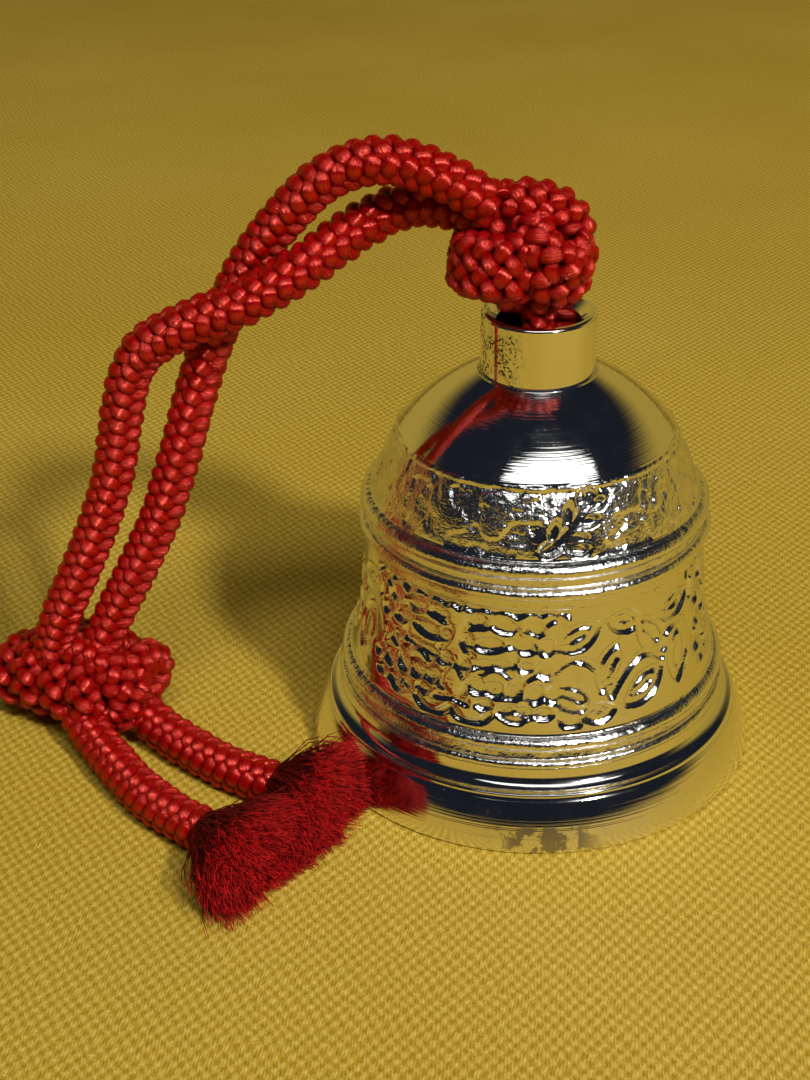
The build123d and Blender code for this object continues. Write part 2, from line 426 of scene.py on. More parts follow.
def yarn_material():
    """Glossy red rayon: fine filaments along each bundle, with painted shade where it dives under the
    others.
    """
    nodes = Nodes("red_yarn")
    strands = nodes.noise(nodes.mapped("UV", (1.35, 40.0, 1.0)), 1.0, 3.0, 0.65)
    reds = [(0.3, (0.09, 0.0004, 0.0008)), (0.5, (0.25, 0.0010, 0.0015)), (0.72, (0.50, 0.0025, 0.003))]
    turns = nodes.split(nodes.mapped("UV", (2 * math.pi, 2 * math.pi, 1.0)))
    over = nodes.math("COSINE", turns["X"])
    outward = nodes.math("SINE", turns["Y"])
    # Painted shade: the colour darkens where a bundle dives under the others or turns away from the outside,
    # and its specular level drops there too.
    lifted = nodes.math("MULTIPLY_ADD", over, 0.20, nodes.math("MULTIPLY_ADD", outward, 0.40, 0.40))
    painted_crevice_shade = nodes.ramp(lifted, [(0.15, 0.07), (0.50, 0.35), (0.90, 1.0)])
    crest = nodes.ramp(lifted, [(0.50, 0.0), (0.75, 0.18), (0.97, 1.0)])
    nodes.feed(Base_Color=nodes.shaded(nodes.ramp(strands, reds, True), painted_crevice_shade), Specular_IOR_Level=crest)
    nodes.feed(Roughness=nodes.ramp(strands, [(0.3, 0.34), (0.7, 0.17)]))
    nodes.feed(Normal=nodes.bump(strands, 1.0, 0.00025))
    nodes.set(IOR=2.4, Anisotropic=0.8, Anisotropic_Rotation=0.25, Specular_Tint=(1.0, 0.15, 0.12, 1))
    nodes.feed(Tangent=nodes.add("ShaderNodeTangent", direction_type="UV_MAP", uv_map="UVMap").outputs[0])
    return nodes.owner


def shade_heart_material():
    """Painted shade: the near black inside of a knot or a tuft, in place of cord and filaments in shadow."""
    nodes = Nodes("red_heart")
    drift = nodes.noise(nodes.mapped(), 1200.0, 3.0)
    # Painted shade: near black reds for the shadowed inside.
    reds = [(0.3, (0.020, 0.0003, 0.0004)), (0.7, (0.060, 0.0005, 0.0008))]
    nodes.feed(Base_Color=nodes.ramp(drift, reds, True))
    nodes.set(Roughness=0.9, Specular_IOR_Level=0.02)
    return nodes.owner


def tassel_material():
    """Loose, matt red filaments with painted shade along most of their length and painted light at their
    tips.
    """
    nodes = Nodes("red_fibre")
    drift = nodes.noise(nodes.mapped(), 900.0, 3.0)
    reds = [(0.3, (0.08, 0.0005, 0.001)), (0.5, (0.18, 0.0010, 0.001)), (0.75, (0.38, 0.003, 0.003))]
    along = nodes.split(nodes.mapped("UV"))["X"]
    # Painted shade darkens the filaments from the root to near the tip, and painted light brightens the
    # tips.
    shade_and_tip_light = nodes.ramp(along, [(0.05, 0.55), (0.72, 0.55), (0.98, 1.5)])
    nodes.feed(Base_Color=nodes.shaded(nodes.ramp(drift, reds, True), shade_and_tip_light))
    nodes.set(Roughness=0.6, Specular_IOR_Level=0.12)
    nodes.set(Sheen_Weight=0.03, Sheen_Roughness=0.4, Sheen_Tint=(1.0, 0.2, 0.16, 1))
    return nodes.owner


# ---- Knots ----
KNOT_CORD_RADIUS = 3.05 * MM
KNOT_SQUEEZE = (1.0, 0.9)     # flattened against the knot
KNOT_STEP = BRAID_PITCH / 9
COIL_SAMPLES = 1200
COIL_CLOSING = 0.45           # part of a turn over which a coil's ends close in
CORE_ROWS = 24
CORE_COLUMNS = 32
POLE_GAP = 0.02               # radians

# Each coil of a knot, in mm: its middle, its axis, half its length along the axis, its half width and
# half height across the axis, its turns, and the degrees where it starts.
UPPER_COILS = [
    ((-2.2, 0.4, 77.2), (0.08, 1.0, 0.25), 2.6, 6.7, 5.4, 1.45, 205),
    ((-5.0, -2.2, 74.4), (0.12, 0.10, 1.0), 4.4, 5.0, 4.4, 2.8, 170),
    ((1.4, -2.6, 75.6), (0.70, -0.20, 0.70), 3.0, 4.6, 4.4, 1.9, 20),
]
LOWER_COILS = [
    ((-68.4, -3.2, 7.9), (0.89, -0.45, 0.04), 11.6, 6.6, 4.5, 4.3, 60),
    ((-65.8, -6.4, 8.5), (0.60, 0.80, -0.06), 2.8, 8.2, 5.0, 1.7, 250),
]
# Each knot: its piece, its CAD node, its coils, and its core's middle, half sizes and turn about Z.
KNOTS = [
    ("knot_upper", "upper_knot", UPPER_COILS, (-2.4, -0.4, 75.6), (7.2, 5.6, 6.0), 0),
    ("knot_lower", "lower_knot", LOWER_COILS, (-68.0, -3.2, 7.2), (11.6, 6.2, 5.0), -27),
]
FIRST_COIL_SEED = 11


def coil_parts(coil, seed):
    """A cord that winds round an axis with its turns side by side and closes in at both ends."""
    middle, axis, half_length, half_width, half_height, turns, start = coil
    axis = unit(np.array(axis, dtype=float))
    level = unit(np.cross((0, 0, 1.0), axis))
    up = np.cross(axis, level)
    part = np.linspace(0, 1, COIL_SAMPLES)
    turn = math.radians(start) + turns * 2 * math.pi * part
    shut = COIL_CLOSING / turns
    closing = np.minimum(between(part, -0.2 * shut, shut), between(part, 1 + 0.2 * shut, 1 - shut))
    wound = (
        axis * ((2 * part - 1) * half_length)[:, None]
        + level * (np.cos(turn) * half_width * closing)[:, None]
        + up * (np.sin(turn) * half_height * closing)[:, None]
    )
    path = even_line((np.array(middle) + wound) * MM, KNOT_STEP)
    from_axis = path - np.array(middle) * MM
    outward = unit(from_axis - 0.85 * (from_axis @ axis)[:, None] * axis)
    return braid_arrays(path, KNOT_CORD_RADIUS, seed, KNOT_SQUEEZE, outward)


def knot_piece(name, node, coils, centre, core_sizes, turn):
    """A tied knot: coils of the cord over a core in painted shade that closes its inside."""
    parts = [coil_parts(coil, seed) for seed, coil in enumerate(coils, start=FIRST_COIL_SEED)]
    shade_heart = core_arrays(np.array(centre) * MM, np.array(core_sizes) * MM, math.radians(turn))
    return on_cord(braided_piece(name, parts, YARN, shade_heart), node)


def between(value, low, high):
    """0 at low, 1 at high, with a soft start and end."""
    part = np.clip((value - low) / (high - low), 0, 1)
    return part * part * (3 - 2 * part)


def core_arrays(centre, half_sizes, turn):
    """A closed ellipsoid, turned about Z."""
    rows, columns = CORE_ROWS, CORE_COLUMNS
    polar = np.linspace(POLE_GAP, math.pi - POLE_GAP, rows)
    azimuth = np.arange(columns) / columns * 2 * math.pi
    x = np.sin(polar)[:, None] * np.cos(azimuth) * half_sizes[0]
    y = np.sin(polar)[:, None] * np.sin(azimuth) * half_sizes[1]
    z = np.cos(polar)[:, None] * np.ones(columns) * half_sizes[2]
    points = np.stack([
        x * math.cos(turn) - y * math.sin(turn), x * math.sin(turn) + y * math.cos(turn), z,
    ], axis=-1).reshape(-1, 3) + centre
    faces = grid_faces(rows, columns)[:, ::-1]
    poles = points.reshape(rows, columns, 3)[[0, -1]].mean(axis=1)
    first = len(points)
    points = np.concatenate([points, poles])
    ring = np.arange(columns)
    after = (ring + 1) % columns
    top = np.stack([ring, after, np.full(columns, first), np.full(columns, first)], axis=1)
    last = (rows - 1) * columns
    low = np.full(columns, first + 1)
    bottom = np.stack([after + last, ring + last, low, low], axis=1)
    faces = np.concatenate([faces, top, bottom])
    return points, faces, np.zeros((len(faces) * 4, 2))


# ---- Cords ----
def on_cord(piece, node):
    """The piece, riding on the cord's body in place of a CAD node."""
    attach(piece, CORD_BODY)
    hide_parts(node)
    return piece


def cord_piece(name, route, radius, node, seed):
    """One braided length of cord; returns the piece and its centreline."""
    line = even_line(smooth_line(route), BRAID_PITCH / BRAID_SAMPLES)
    piece = braided_piece(name, [braid_arrays(line, radius, seed)], YARN)
    return on_cord(piece, node), line


# ---- Tassels ----
FIBRES = 7400
FIBRE_SEGMENTS = 4
FIBRE_SIDES = 3
FIBRE_RADIUS = 0.10 * MM
FIBRE_TAPER = 0.5
CLUMPS = 90
CLUMP_REACH = (0.80, 1.08)    # shares of the tassel's length
CLUMP_CURL = 1.2 * MM
FIBRE_CURL = 0.6 * MM
CRIMP = 0.36 * MM
SCATTER = 0.05                # of a filament's tip, as a share of the tassel's spread
ROOT_RADIUS = 2.75 * MM
BELL_CLEAR = 33.3 * MM        # filaments that reach the bell's foot bend away round it
TABLE_CLEAR = 0.15 * MM
TUFT_CORE = (0.42, 0.46, 0.52, 0.55)    # place and half length by length, half sizes by spread


def fibre_lines(root, heading, spread, length, random):
    """Centrelines of loose filaments that fan out from the cord's end in clumps."""
    across = unit(np.cross(np.array((0, 0, 1.0)), heading))
    up = np.cross(heading, across)
    travel = np.linspace(0, 1, FIBRE_SEGMENTS + 1)
    clump_angle = random.uniform(0, 2 * math.pi, CLUMPS)
    clump_rank = np.sqrt(random.uniform(0.02, 1, CLUMPS))
    clump_reach = random.uniform(*CLUMP_REACH, CLUMPS)
    clump_curl = random.normal(0, CLUMP_CURL, (CLUMPS, 2))
    member = random.integers(0, CLUMPS, FIBRES)
    angle = clump_angle[member] + random.normal(0, 0.22, FIBRES)
    rank = np.clip(clump_rank[member] + random.normal(0, 0.13, FIBRES), 0, 1.1)
    fan = rank * np.cos(angle) * spread[0] + random.normal(0, SCATTER, FIBRES) * spread[0]
    rise = rank * np.sin(angle) * spread[1] + random.normal(0, SCATTER, FIBRES) * spread[1]
    reach = length * clump_reach[member] * random.normal(0.97, 0.07, FIBRES)
    curl = clump_curl[member] + random.normal(0, FIBRE_CURL, (FIBRES, 2))
    kink = random.uniform(0, PHASES, (FIBRES, 2))
    crimp = CRIMP * np.sin(travel * 17 + random.uniform(0, PHASES, (FIBRES, 1))) * travel
    bend = travel ** 1.4
    wave = np.sin(travel * 4.4 + kink[:, :1]) - np.sin(kink[:, :1])
    sway = np.sin(travel * 5.1 + kink[:, 1:]) - np.sin(kink[:, 1:])
    start = ROOT_RADIUS * rank
    beside = (start * np.cos(angle))[:, None] + fan[:, None] * bend + 0.5 * curl[:, :1] * wave + crimp
    above = (start * np.sin(angle))[:, None] + rise[:, None] * bend + 0.5 * curl[:, 1:] * sway
    ahead = reach[:, None] * travel
    line = np.array(root) + ahead[..., None] * heading + beside[..., None] * across + above[..., None] * up
    from_bell = np.hypot(line[..., 0], line[..., 1])
    line[..., :2] *= (np.maximum(from_bell, BELL_CLEAR) / from_bell)[..., None]
    floor = TABLE_CLEAR + random.uniform(0, 0.5 * MM, FIBRES)[:, None]
    line[..., 2] = np.maximum(line[..., 2], floor)
    return line


def fibre_arrays(line):
    """Points, faces and uv of thin three-sided filaments; u is 0 at the root and 1 at the tip."""
    travel = np.linspace(0, 1, FIBRE_SEGMENTS + 1)
    tangent = unit(np.gradient(line, axis=1))
    side = unit(np.cross(tangent, np.array((0.2, 0.3, 1.0))))
    top = np.cross(tangent, side)
    thickness = (FIBRE_RADIUS * (1 - FIBRE_TAPER * travel))[None, :, None]
    points = []
    for corner in range(FIBRE_SIDES):
        turn = corner / FIBRE_SIDES * 2 * math.pi
        points.append(line + (side * math.cos(turn) + top * math.sin(turn)) * thickness)
    points = np.stack(points, axis=2)
    first = (np.arange(FIBRES) * (FIBRE_SEGMENTS + 1) * FIBRE_SIDES)[:, None, None]
    walls = (grid_faces(FIBRE_SEGMENTS + 1, FIBRE_SIDES)[None] + first).reshape(-1, 4)
    tip = FIBRE_SEGMENTS * FIBRE_SIDES
    caps = (np.array([[tip, tip + 1, tip + 2, tip + 2]])[None] + first).reshape(-1, 4)
    rows = np.repeat(np.arange(FIBRE_SEGMENTS), FIBRE_SIDES)[:, None] + np.array([0, 0, 1, 1])
    share = np.concatenate([np.tile(travel[rows].ravel(), FIBRES), np.ones(FIBRES * 4)])
    return points.reshape(-1, 3), np.concatenate([walls, caps]), np.stack([share, share], axis=1)


def tassel_piece(name, node, root, heading, spread, length, seed):
    """A dense tuft of loose filaments round a core in painted shade; spread and length are in mm."""
    heading = unit(np.array(heading))
    spread = (spread[0] * MM, spread[1] * MM)
    length = length * MM
    tuft = fibre_arrays(fibre_lines(root, heading, spread, length, np.random.default_rng(seed)))
    middle = np.array(root) + heading * length * TUFT_CORE[0]
    half_sizes = (length * TUFT_CORE[1], spread[0] * TUFT_CORE[2], spread[1] * TUFT_CORE[3])
    core = core_arrays(middle, half_sizes, math.atan2(heading[1], heading[0]))
    return on_cord(braided_piece(name, [tuft], FIBRE, core), node)


# ---- Cords, knots and tassels in place ----
make_camera()
YARN = yarn_material()
FIBRE = tassel_material()
SHADE_HEART = shade_heart_material()

strand_a, line_a = cord_piece("strand_a", STRAND_A, CORD_RADIUS, "cord_strand_a", 1)
strand_b, line_b = cord_piece("strand_b", STRAND_B, CORD_RADIUS, "cord_strand_b", 2)
tail_a, tail_line_a = cord_piece("tail_a", TAIL_A, CORD_RADIUS, "cord_tail_a", 3)
tail_b, tail_line_b = cord_piece("tail_b", TAIL_B, CORD_RADIUS, "cord_tail_b", 4)
cord_piece("bight", BIGHT, BIGHT_RADIUS, "cord_bight", 7)
knots = [knot_piece(*knot) for knot in KNOTS]
tuft_a = tassel_piece("tuft_a", "tassel_a", tail_line_a[-4], (0.84, -0.42, 0.03), (8.2, 4.3), 10.8, 5)
tuft_b = tassel_piece("tuft_b", "tassel_b", tail_line_b[-2], (0.84, -0.54, 0.03), (7.0, 3.8), 11.8, 6)


# ---- Bell ----
BAND_RADIUS = 25.5            # of the middle band, halfway up
FINE_COLUMNS = 720
PLAIN_COLUMNS = 240
FINE_STEP = 0.22              # along the profile, mm


def arc(first, middle, last, step):
    """Points of a circular arc through three points of the bell's (radius, height) profile."""
    (ax, ay), (bx, by), (cx, cy) = first, middle, last
    double = 2 * (ax * (by - cy) + bx * (cy - ay) + cx * (ay - by))
    a, b, c = ax * ax + ay * ay, bx * bx + by * by, cx * cx + cy * cy
    x = (a * (by - cy) + b * (cy - ay) + c * (ay - by)) / double
    y = (a * (cx - bx) + b * (ax - cx) + c * (bx - ax)) / double
    radius = math.hypot(ax - x, ay - y)
    start = math.atan2(ay - y, ax - x)
    turn = math.remainder(math.atan2(cy - y, cx - x) - start, 2 * math.pi)
    count = max(int(abs(turn) * radius / step), 2)
    angles = start + turn * np.linspace(0, 1, count + 1)
    return np.stack([x + radius * np.cos(angles), y + radius * np.sin(angles)], axis=1)


def straight(first, last, step):
    """Points of a straight part of the profile."""
    count = max(int(math.dist(first, last) / step), 1)
    return np.linspace(first, last, count + 1)


def profile(start, parts, step):
    """Points of a profile from its start: a part is a line's end, or an arc's middle and end."""
    made = [np.array([start])]
    for part in parts:
        made.append((straight if len(part) == 1 else arc)(start, *part, step)[1:])
        start = part[-1]
    return np.concatenate(made)


# Each part of the bell's (radius, height) profile, in mm: (line's end,) or (arc's middle, arc's end).
FOOT_PROFILE = [
    ((29.8, 0.0),), ((32.7, 0.0),), ((33.0, 0.3),), ((31.95, 4.0), (30.6, 7.1)), ((30.3, 7.3),),
    ((30.3, 7.75),), ((30.22, 7.93), (30.05, 8.02)), ((28.75, 8.5), (28.1, 9.7)), ((28.0, 10.8),),
]
LOWER_START = (28.0, 10.8)
LOWER_BAND = [
    ((28.35, 11.5), (27.6, 12.0)), ((27.3, 13.3),), ((27.95, 14.4), (26.9, 15.3)), ((26.7, 16.4),),
    ((25.15, 25.0), (24.3, 34.0)),
]
UPPER_START = (24.3, 34.0)
UPPER_BAND = [
    ((24.2, 35.3),), ((24.9, 36.2), (23.9, 37.0)), ((23.8, 38.3),), ((24.6, 39.5), (23.4, 40.6)),
    ((21.75, 45.4), (19.3, 50.1)),
]
DOME_START = (19.3, 50.1)
DOME_PROFILE = [
    ((14.1, 54.9), (8.2, 58.3)), ((8.2, 57.8),), ((6.92, 57.8),), ((6.92, 54.4),),
    ((13.2, 51.3), (17.7, 44.6)), ((20.9, 33.0),), ((23.3, 17.0),), ((26.0, 8.0),),
]
PLAIN_STEP = 0.35


def revolved(name, points, columns, material, relief=None):
    """A profile turned about Z; relief pushes it along its normal and says how rough it is."""
    angles = np.arange(columns) / columns * 2 * math.pi
    slope = unit(np.gradient(points, axis=0))
    radius = np.repeat(points[:, :1], columns, axis=1)
    height = np.repeat(points[:, 1:], columns, axis=1)
    rough = np.zeros(radius.shape)
    if relief is not None:
        push, rough = relief(radius, height, np.broadcast_to(angles, radius.shape))
        radius = radius + push * slope[:, 1:]
        height = height - push * slope[:, :1]
    grid = np.stack([radius * np.cos(angles), radius * np.sin(angles), height], axis=-1) * MM
    faces = grid_faces(len(points), columns)
    piece = mesh_piece(name, grid.reshape(-1, 3), faces, [material])
    cast = piece.data.attributes.new("cast", "FLOAT", "POINT")
    cast.data.foreach_set("value", rough.astype(np.float32).ravel())
    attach(piece, BELL_BODY)
    return piece


def lattice_noise(points, cell, seed):
    """Smooth noise from -1 to 1 with one random value at each corner of a cubic lattice."""
    random = np.random.default_rng(seed)
    size = 32
    values = random.uniform(-1, 1, (size, size, size))
    place = points / cell
    low = np.floor(place).astype(int)
    part = place - low
    part = part * part * (3 - 2 * part)
    total = 0.0
    for corner in np.ndindex(2, 2, 2):
        index = (low + corner) % size
        weight = np.prod(np.where(np.array(corner) == 1, part, 1 - part), axis=-1)
        total = total + weight * values[index[..., 0], index[..., 1], index[..., 2]]
    return total


# Every motif is placed by the degrees round the bell and the height, and sized in mm.
# The hollows are (degrees, height, half length, half width, tilt in degrees).
CLOUD_HOLLOWS = [
    (0, 31.0, 1.7, 0.62, 8), (5.2, 28.1, 1.9, 0.68, -6), (-5.0, 28.3, 1.5, 0.60, 14),
    (-9.5, 31.2, 1.2, 0.85, 60), (9.3, 31.3, 1.3, 0.60, -20), (-13.4, 28.2, 1.0, 0.8, 70),
    (11.8, 28.0, 0.9, 0.7, 50), (0.6, 25.3, 1.2, 0.42, 0), (6.8, 25.0, 1.4, 0.45, -12),
    (-7.2, 25.2, 0.8, 0.45, 10), (-12.6, 24.9, 1.0, 0.66, 60), (12.6, 24.6, 0.8, 0.6, 80),
    (-3.6, 21.9, 1.6, 0.75, -55), (2.8, 21.6, 1.2, 0.8, 0), (8.2, 21.8, 1.3, 0.8, 20),
    (-9.6, 21.4, 1.2, 0.9, -50), (-15.2, 21.2, 0.9, 0.7, 60), (5.6, 19.3, 0.9, 0.5, 0),
    (-1.4, 18.9, 1.1, 0.5, -16), (-6.6, 18.7, 1.0, 0.5, 12), (-12.4, 18.6, 0.9, 0.5, 0),
]
CLOUD_RIMS = [
    (13.6, 22.0, 3.1, -110, 70), (9.6, 19.4, 3.0, -150, -30), (2.4, 22.4, 2.6, 30, 150),
    (-3.2, 19.6, 2.2, 160, 330), (-11.2, 22.4, 2.4, 20, 200), (-8.0, 27.0, 2.4, -30, 160),
    (8.4, 28.4, 2.6, -70, 110), (-14.6, 30.6, 2.0, 0, 220), (2.2, 29.4, 2.8, 60, 190),
]
SCALLOPS = [(-15, 2.2), (-9.5, 2.6), (-3.4, 3.0), (3.6, 3.2), (10.0, 2.8), (15.6, 2.0)]
# The leaves are (degrees, height, half length, half width, tilt) too; only their edges are cut in.
LEAVES = [
    (-13.0, 29.4, 3.2, 1.5, 28), (-14.0, 20.6, 3.4, 1.6, -24), (-5.6, 24.6, 3.6, 1.9, 64),
    (-2.4, 30.6, 2.6, 1.2, -12), (1.8, 20.2, 3.4, 1.6, 30), (4.4, 27.2, 3.6, 1.8, -52),
    (11.6, 30.0, 3.0, 1.4, 18), (12.2, 22.4, 3.8, 1.9, 76), (-8.6, 18.0, 1.8, 0.9, 8),
]
STEMS = [
    ((-17.5, 24.6), (-11.0, 25.8), (-6.0, 20.2)), ((-6.0, 20.2), (0.6, 24.8), (6.6, 23.2)),
    ((6.6, 23.2), (9.2, 26.8), (16.0, 26.4)),
]
SPRIG_STROKES = [((-5.4, 42.0), (-0.6, 44.4), (4.6, 48.4)), ((-1.6, 43.8), (-0.6, 42.6), (1.4, 42.0))]
SPRIG_LEAVES = [
    (-3.9, 44.4, 1.5, 0.62, 74), (-0.9, 46.3, 1.5, 0.60, 82), (2.2, 48.2, 1.0, 0.50, 70),
    (0.7, 43.4, 1.5, 0.55, -8), (3.4, 45.4, 1.5, 0.55, 4), (5.6, 47.3, 1.1, 0.50, 14),
]
BEAD_HEIGHTS = (11.5, 14.4, 36.2, 39.5)
BEAD_RISE = 0.24
BEAD_WIDTH = 0.75
CLOUD_DEPTH = 0.62            # mm
SPRIG_DEPTH = 0.95
CLOUD_WIDENING = (1.35, 1.45)    # of the hollows' half lengths and half widths
RIM_WIDTH = 0.75
EDGE_WIDTH = 0.80             # of the leaves' edges and stems
SPRIG_WIDTH = 1.3
SPRIG_CLEARING = 4.0          # the ground is left smooth this far round the sprig's stems
LEAF_SPREAD = 1.55
SPRIG_SPREAD = 1.7
CLOUD_TURNS = [(-130, 1), (-98, -1), (-10, 1), (22, -1), (110, 1), (142, -1)]
LEAF_TURNS = (-55, 65, 185)
SPRIG_TURNS = (-76, 44, 164)
SAND_PLACES = [(-80, 24.5, 4.0), (-78, 18.6, 3.2), (-36, 22.0, 3.6), (-150, 24.0, 3.6)]


def sideways(angle, degrees, radius):
    """Distance round the bell from a direction, in mm."""
    return np.angle(np.exp(1j * (angle - math.radians(degrees)))) * radius


def hollow_shape(radius, height, angle, turn, hollow):
    """1 in the middle of an oval hollow, 0 outside it."""
    degrees, middle, long, wide, tilt = hollow
    across = sideways(angle, turn + degrees, radius)
    above = height - middle
    tilt = math.radians(tilt)
    along = across * math.cos(tilt) + above * math.sin(tilt)
    beside = above * math.cos(tilt) - across * math.sin(tilt)
    edge = np.sqrt((along / (long + 0.35)) ** 2 + (beside / (wide + 0.35)) ** 2)
    return 1 - between(edge, 0.55, 1.05)


def stroke_shape(radius, height, angle, points, half_width):
    """1 along a curved stroke through (degrees, height) points, 0 beside it."""
    route = np.array(points, dtype=float)
    route[:, 0] = np.radians(route[:, 0])
    steps = np.linspace(0, 1, 22)[:, None]
    bend = 2 * route[1] - 0.5 * (route[0] + route[2])
    curve = (1 - steps) ** 2 * route[0] + 2 * steps * (1 - steps) * bend + steps ** 2 * route[2]
    nearest = np.full(radius.shape, 9.0)
    low, high = curve[:, 1].min() - 1.5, curve[:, 1].max() + 1.5
    rows = np.nonzero((height[:, 0] > low) & (height[:, 0] < high))[0]
    if not len(rows):
        return np.zeros(radius.shape)
    rows = slice(rows[0], rows[-1] + 1)
    for place, level in curve:
        across = np.angle(np.exp(1j * (angle[rows] - place))) * radius[rows]
        nearest[rows] = np.minimum(nearest[rows], np.hypot(across, height[rows] - level))
    return 1 - between(nearest, half_width * 0.35, half_width)


def rim_stroke(turn, rim):
    """A stroke along part of a circle, as three (degrees, height) points."""
    degrees, middle, size, start, end = rim
    points = []
    for part in (0, 0.5, 1):
        direction = math.radians(start + (end - start) * part)
        points.append((
            turn + degrees + math.degrees(size * math.cos(direction) / BAND_RADIUS),
            middle + size * math.sin(direction),
        ))
    return points


def leaf_edges(leaf):
    """The two edges and the short vein of a leaf, as strokes through three (degrees, height) points."""
    degrees, middle, long, wide, tilt = leaf
    tilt = math.radians(tilt)

    def spot(along, beside):
        across = along * math.cos(tilt) - beside * math.sin(tilt)
        above = along * math.sin(tilt) + beside * math.cos(tilt)
        return degrees + math.degrees(across / BAND_RADIUS) / LEAF_SPREAD, middle + above

    edges = [[spot(-long, 0), spot(0, side * wide), spot(long, 0)] for side in (1, -1)]
    return edges + [[spot(-0.5 * long, 0), spot(0, 0.1 * wide), spot(0.3 * long, 0)]]


def grain(radius, height, angle):
    """The lumps and grains of an unfinished casting, in mm."""
    points = np.stack([radius * np.cos(angle), radius * np.sin(angle), height], axis=-1)
    lumps = lattice_noise(points, 1.7, 3)
    grains = lattice_noise(points, 0.62, 4)
    specks = lattice_noise(points, 0.40, 5)
    worn = between(lattice_noise(points, 6.0, 6), -0.35, 0.45)
    return 0.036 * lumps + worn * (0.032 * grains + 0.016 * specks)


def cloud_shape(radius, height, angle):
    """1 in the hollows, round the rims and along the scalloped top of the clouds."""
    sunk = np.zeros(radius.shape)
    for turn, hand in CLOUD_TURNS:
        for degrees, middle, long, wide, tilt in CLOUD_HOLLOWS:
            long, wide = long * CLOUD_WIDENING[0], wide * CLOUD_WIDENING[1]
            hollow = (degrees * hand, middle, long, wide, tilt * hand)
            sunk = np.maximum(sunk, hollow_shape(radius, height, angle, turn, hollow))
        for degrees, middle, size, start, end in CLOUD_RIMS:
            if hand < 0:
                start, end = 180 - start, 180 - end
            stroke = rim_stroke(turn, (degrees * hand, middle, size, start, end))
            sunk = np.maximum(sunk, 0.7 * stroke_shape(radius, height, angle, stroke, RIM_WIDTH))
        for degrees, wide in SCALLOPS:
            across = sideways(angle, turn + degrees, radius)
            edge = 32.4 + 0.8 * np.cos(np.clip(across / wide * 1.6, -1.57, 1.57))
            lobe = (np.abs(across) < wide * 1.1) * between(height, edge - 0.3, edge + 0.5)
            sunk = np.maximum(sunk, lobe)
    return sunk


def leaf_shape(radius, height, angle):
    """Near 1 along the edges and stems of the leaves."""
    sunk = np.zeros(radius.shape)
    strokes = STEMS + [edge for leaf in LEAVES for edge in leaf_edges(leaf)]
    for turn in LEAF_TURNS:
        for stroke in strokes:
            placed = [(turn + degrees * LEAF_SPREAD, level) for degrees, level in stroke]
            sunk = np.maximum(sunk, 0.8 * stroke_shape(radius, height, angle, placed, EDGE_WIDTH))
    return sunk


def sand_shape(radius, height, angle):
    """About a half in the rough patches between the motifs."""
    sunk = np.zeros(radius.shape)
    for third in (0, 120, 240):
        for degrees, middle, size in SAND_PLACES:
            patch = (degrees, middle, size * 0.55, size, 20)
            sunk = np.maximum(sunk, 0.55 * hollow_shape(radius, height, angle, third, patch))
    return sunk


def lower_relief(radius, height, angle):
    """Clouds and leaves of the middle band, and the rough beads below it."""
    inside = between(height, 16.0, 16.8) * (1 - between(height, 33.2, 34.0))
    shapes = [shape(radius, height, angle) for shape in (cloud_shape, leaf_shape, sand_shape)]
    sunk = np.maximum.reduce(shapes)
    rough = np.maximum(between(sunk, 0.3, 0.8) * inside, 1.3 * (height < 15.6))
    push = grain(radius, height, angle) * (0.5 + 0.9 * rough)
    return push + fuller_beads(height) - CLOUD_DEPTH * sunk * inside, rough


def fuller_beads(height):
    """The round beads' extra height, in mm."""
    return sum(BEAD_RISE * np.exp(-((height - middle) / BEAD_WIDTH) ** 2) for middle in BEAD_HEIGHTS)


def upper_relief(radius, height, angle):
    """A worn, rough ground with a raised sprig repeated round it, and the rough beads below."""
    points = np.stack([radius * np.cos(angle), radius * np.sin(angle), height], axis=-1)
    inside = between(height, 40.8, 41.6) * (1 - between(height, 49.3, 50.0))
    patches = between(lattice_noise(points, 2.6, 8), 0.0, 0.22) * 0.24
    patches = patches + between(lattice_noise(points, 1.3, 9), 0.2, 0.5) * 0.16
    marks = np.zeros(radius.shape)
    clear = np.zeros(radius.shape)
    for turn in SPRIG_TURNS:
        for stroke in SPRIG_STROKES:
            placed = [(turn + degrees * SPRIG_SPREAD, level) for degrees, level in stroke]
            marks = np.maximum(marks, stroke_shape(radius, height, angle, placed, SPRIG_WIDTH))
            clear = np.maximum(clear, stroke_shape(radius, height, angle, placed, SPRIG_CLEARING))
        for degrees, middle, long, wide, tilt in SPRIG_LEAVES:
            leaf = (degrees * SPRIG_SPREAD, middle, long, wide, tilt)
            marks = np.maximum(marks, hollow_shape(radius, height, angle, turn, leaf))
    rough = np.maximum(1.8 * inside * (1 - 0.7 * clear), 1.3 * (height < 41))
    push = grain(radius, height, angle) * (0.6 + 0.9 * rough)
    ring = 0.17 * np.exp(-((height - 49.5) / 0.22) ** 2) - 0.10 * np.exp(-((height - 49.0) / 0.2) ** 2)
    push = push + ring + fuller_beads(height)
    return push + inside * (-patches * (1 - clear) - SPRIG_DEPTH * marks), rough


def turning_lines(nodes, radial, z):
    """Fine rings left by the lathe."""
    turned = nodes.add("ShaderNodeCombineXYZ")
    nodes.link(nodes.math("MULTIPLY", radial, 3200.0), turned.inputs["X"])
    nodes.link(nodes.math("MULTIPLY", z, 3200.0), turned.inputs["Z"])
    return nodes.noise(turned.outputs[0], 1.0, 2.0, 0.6)


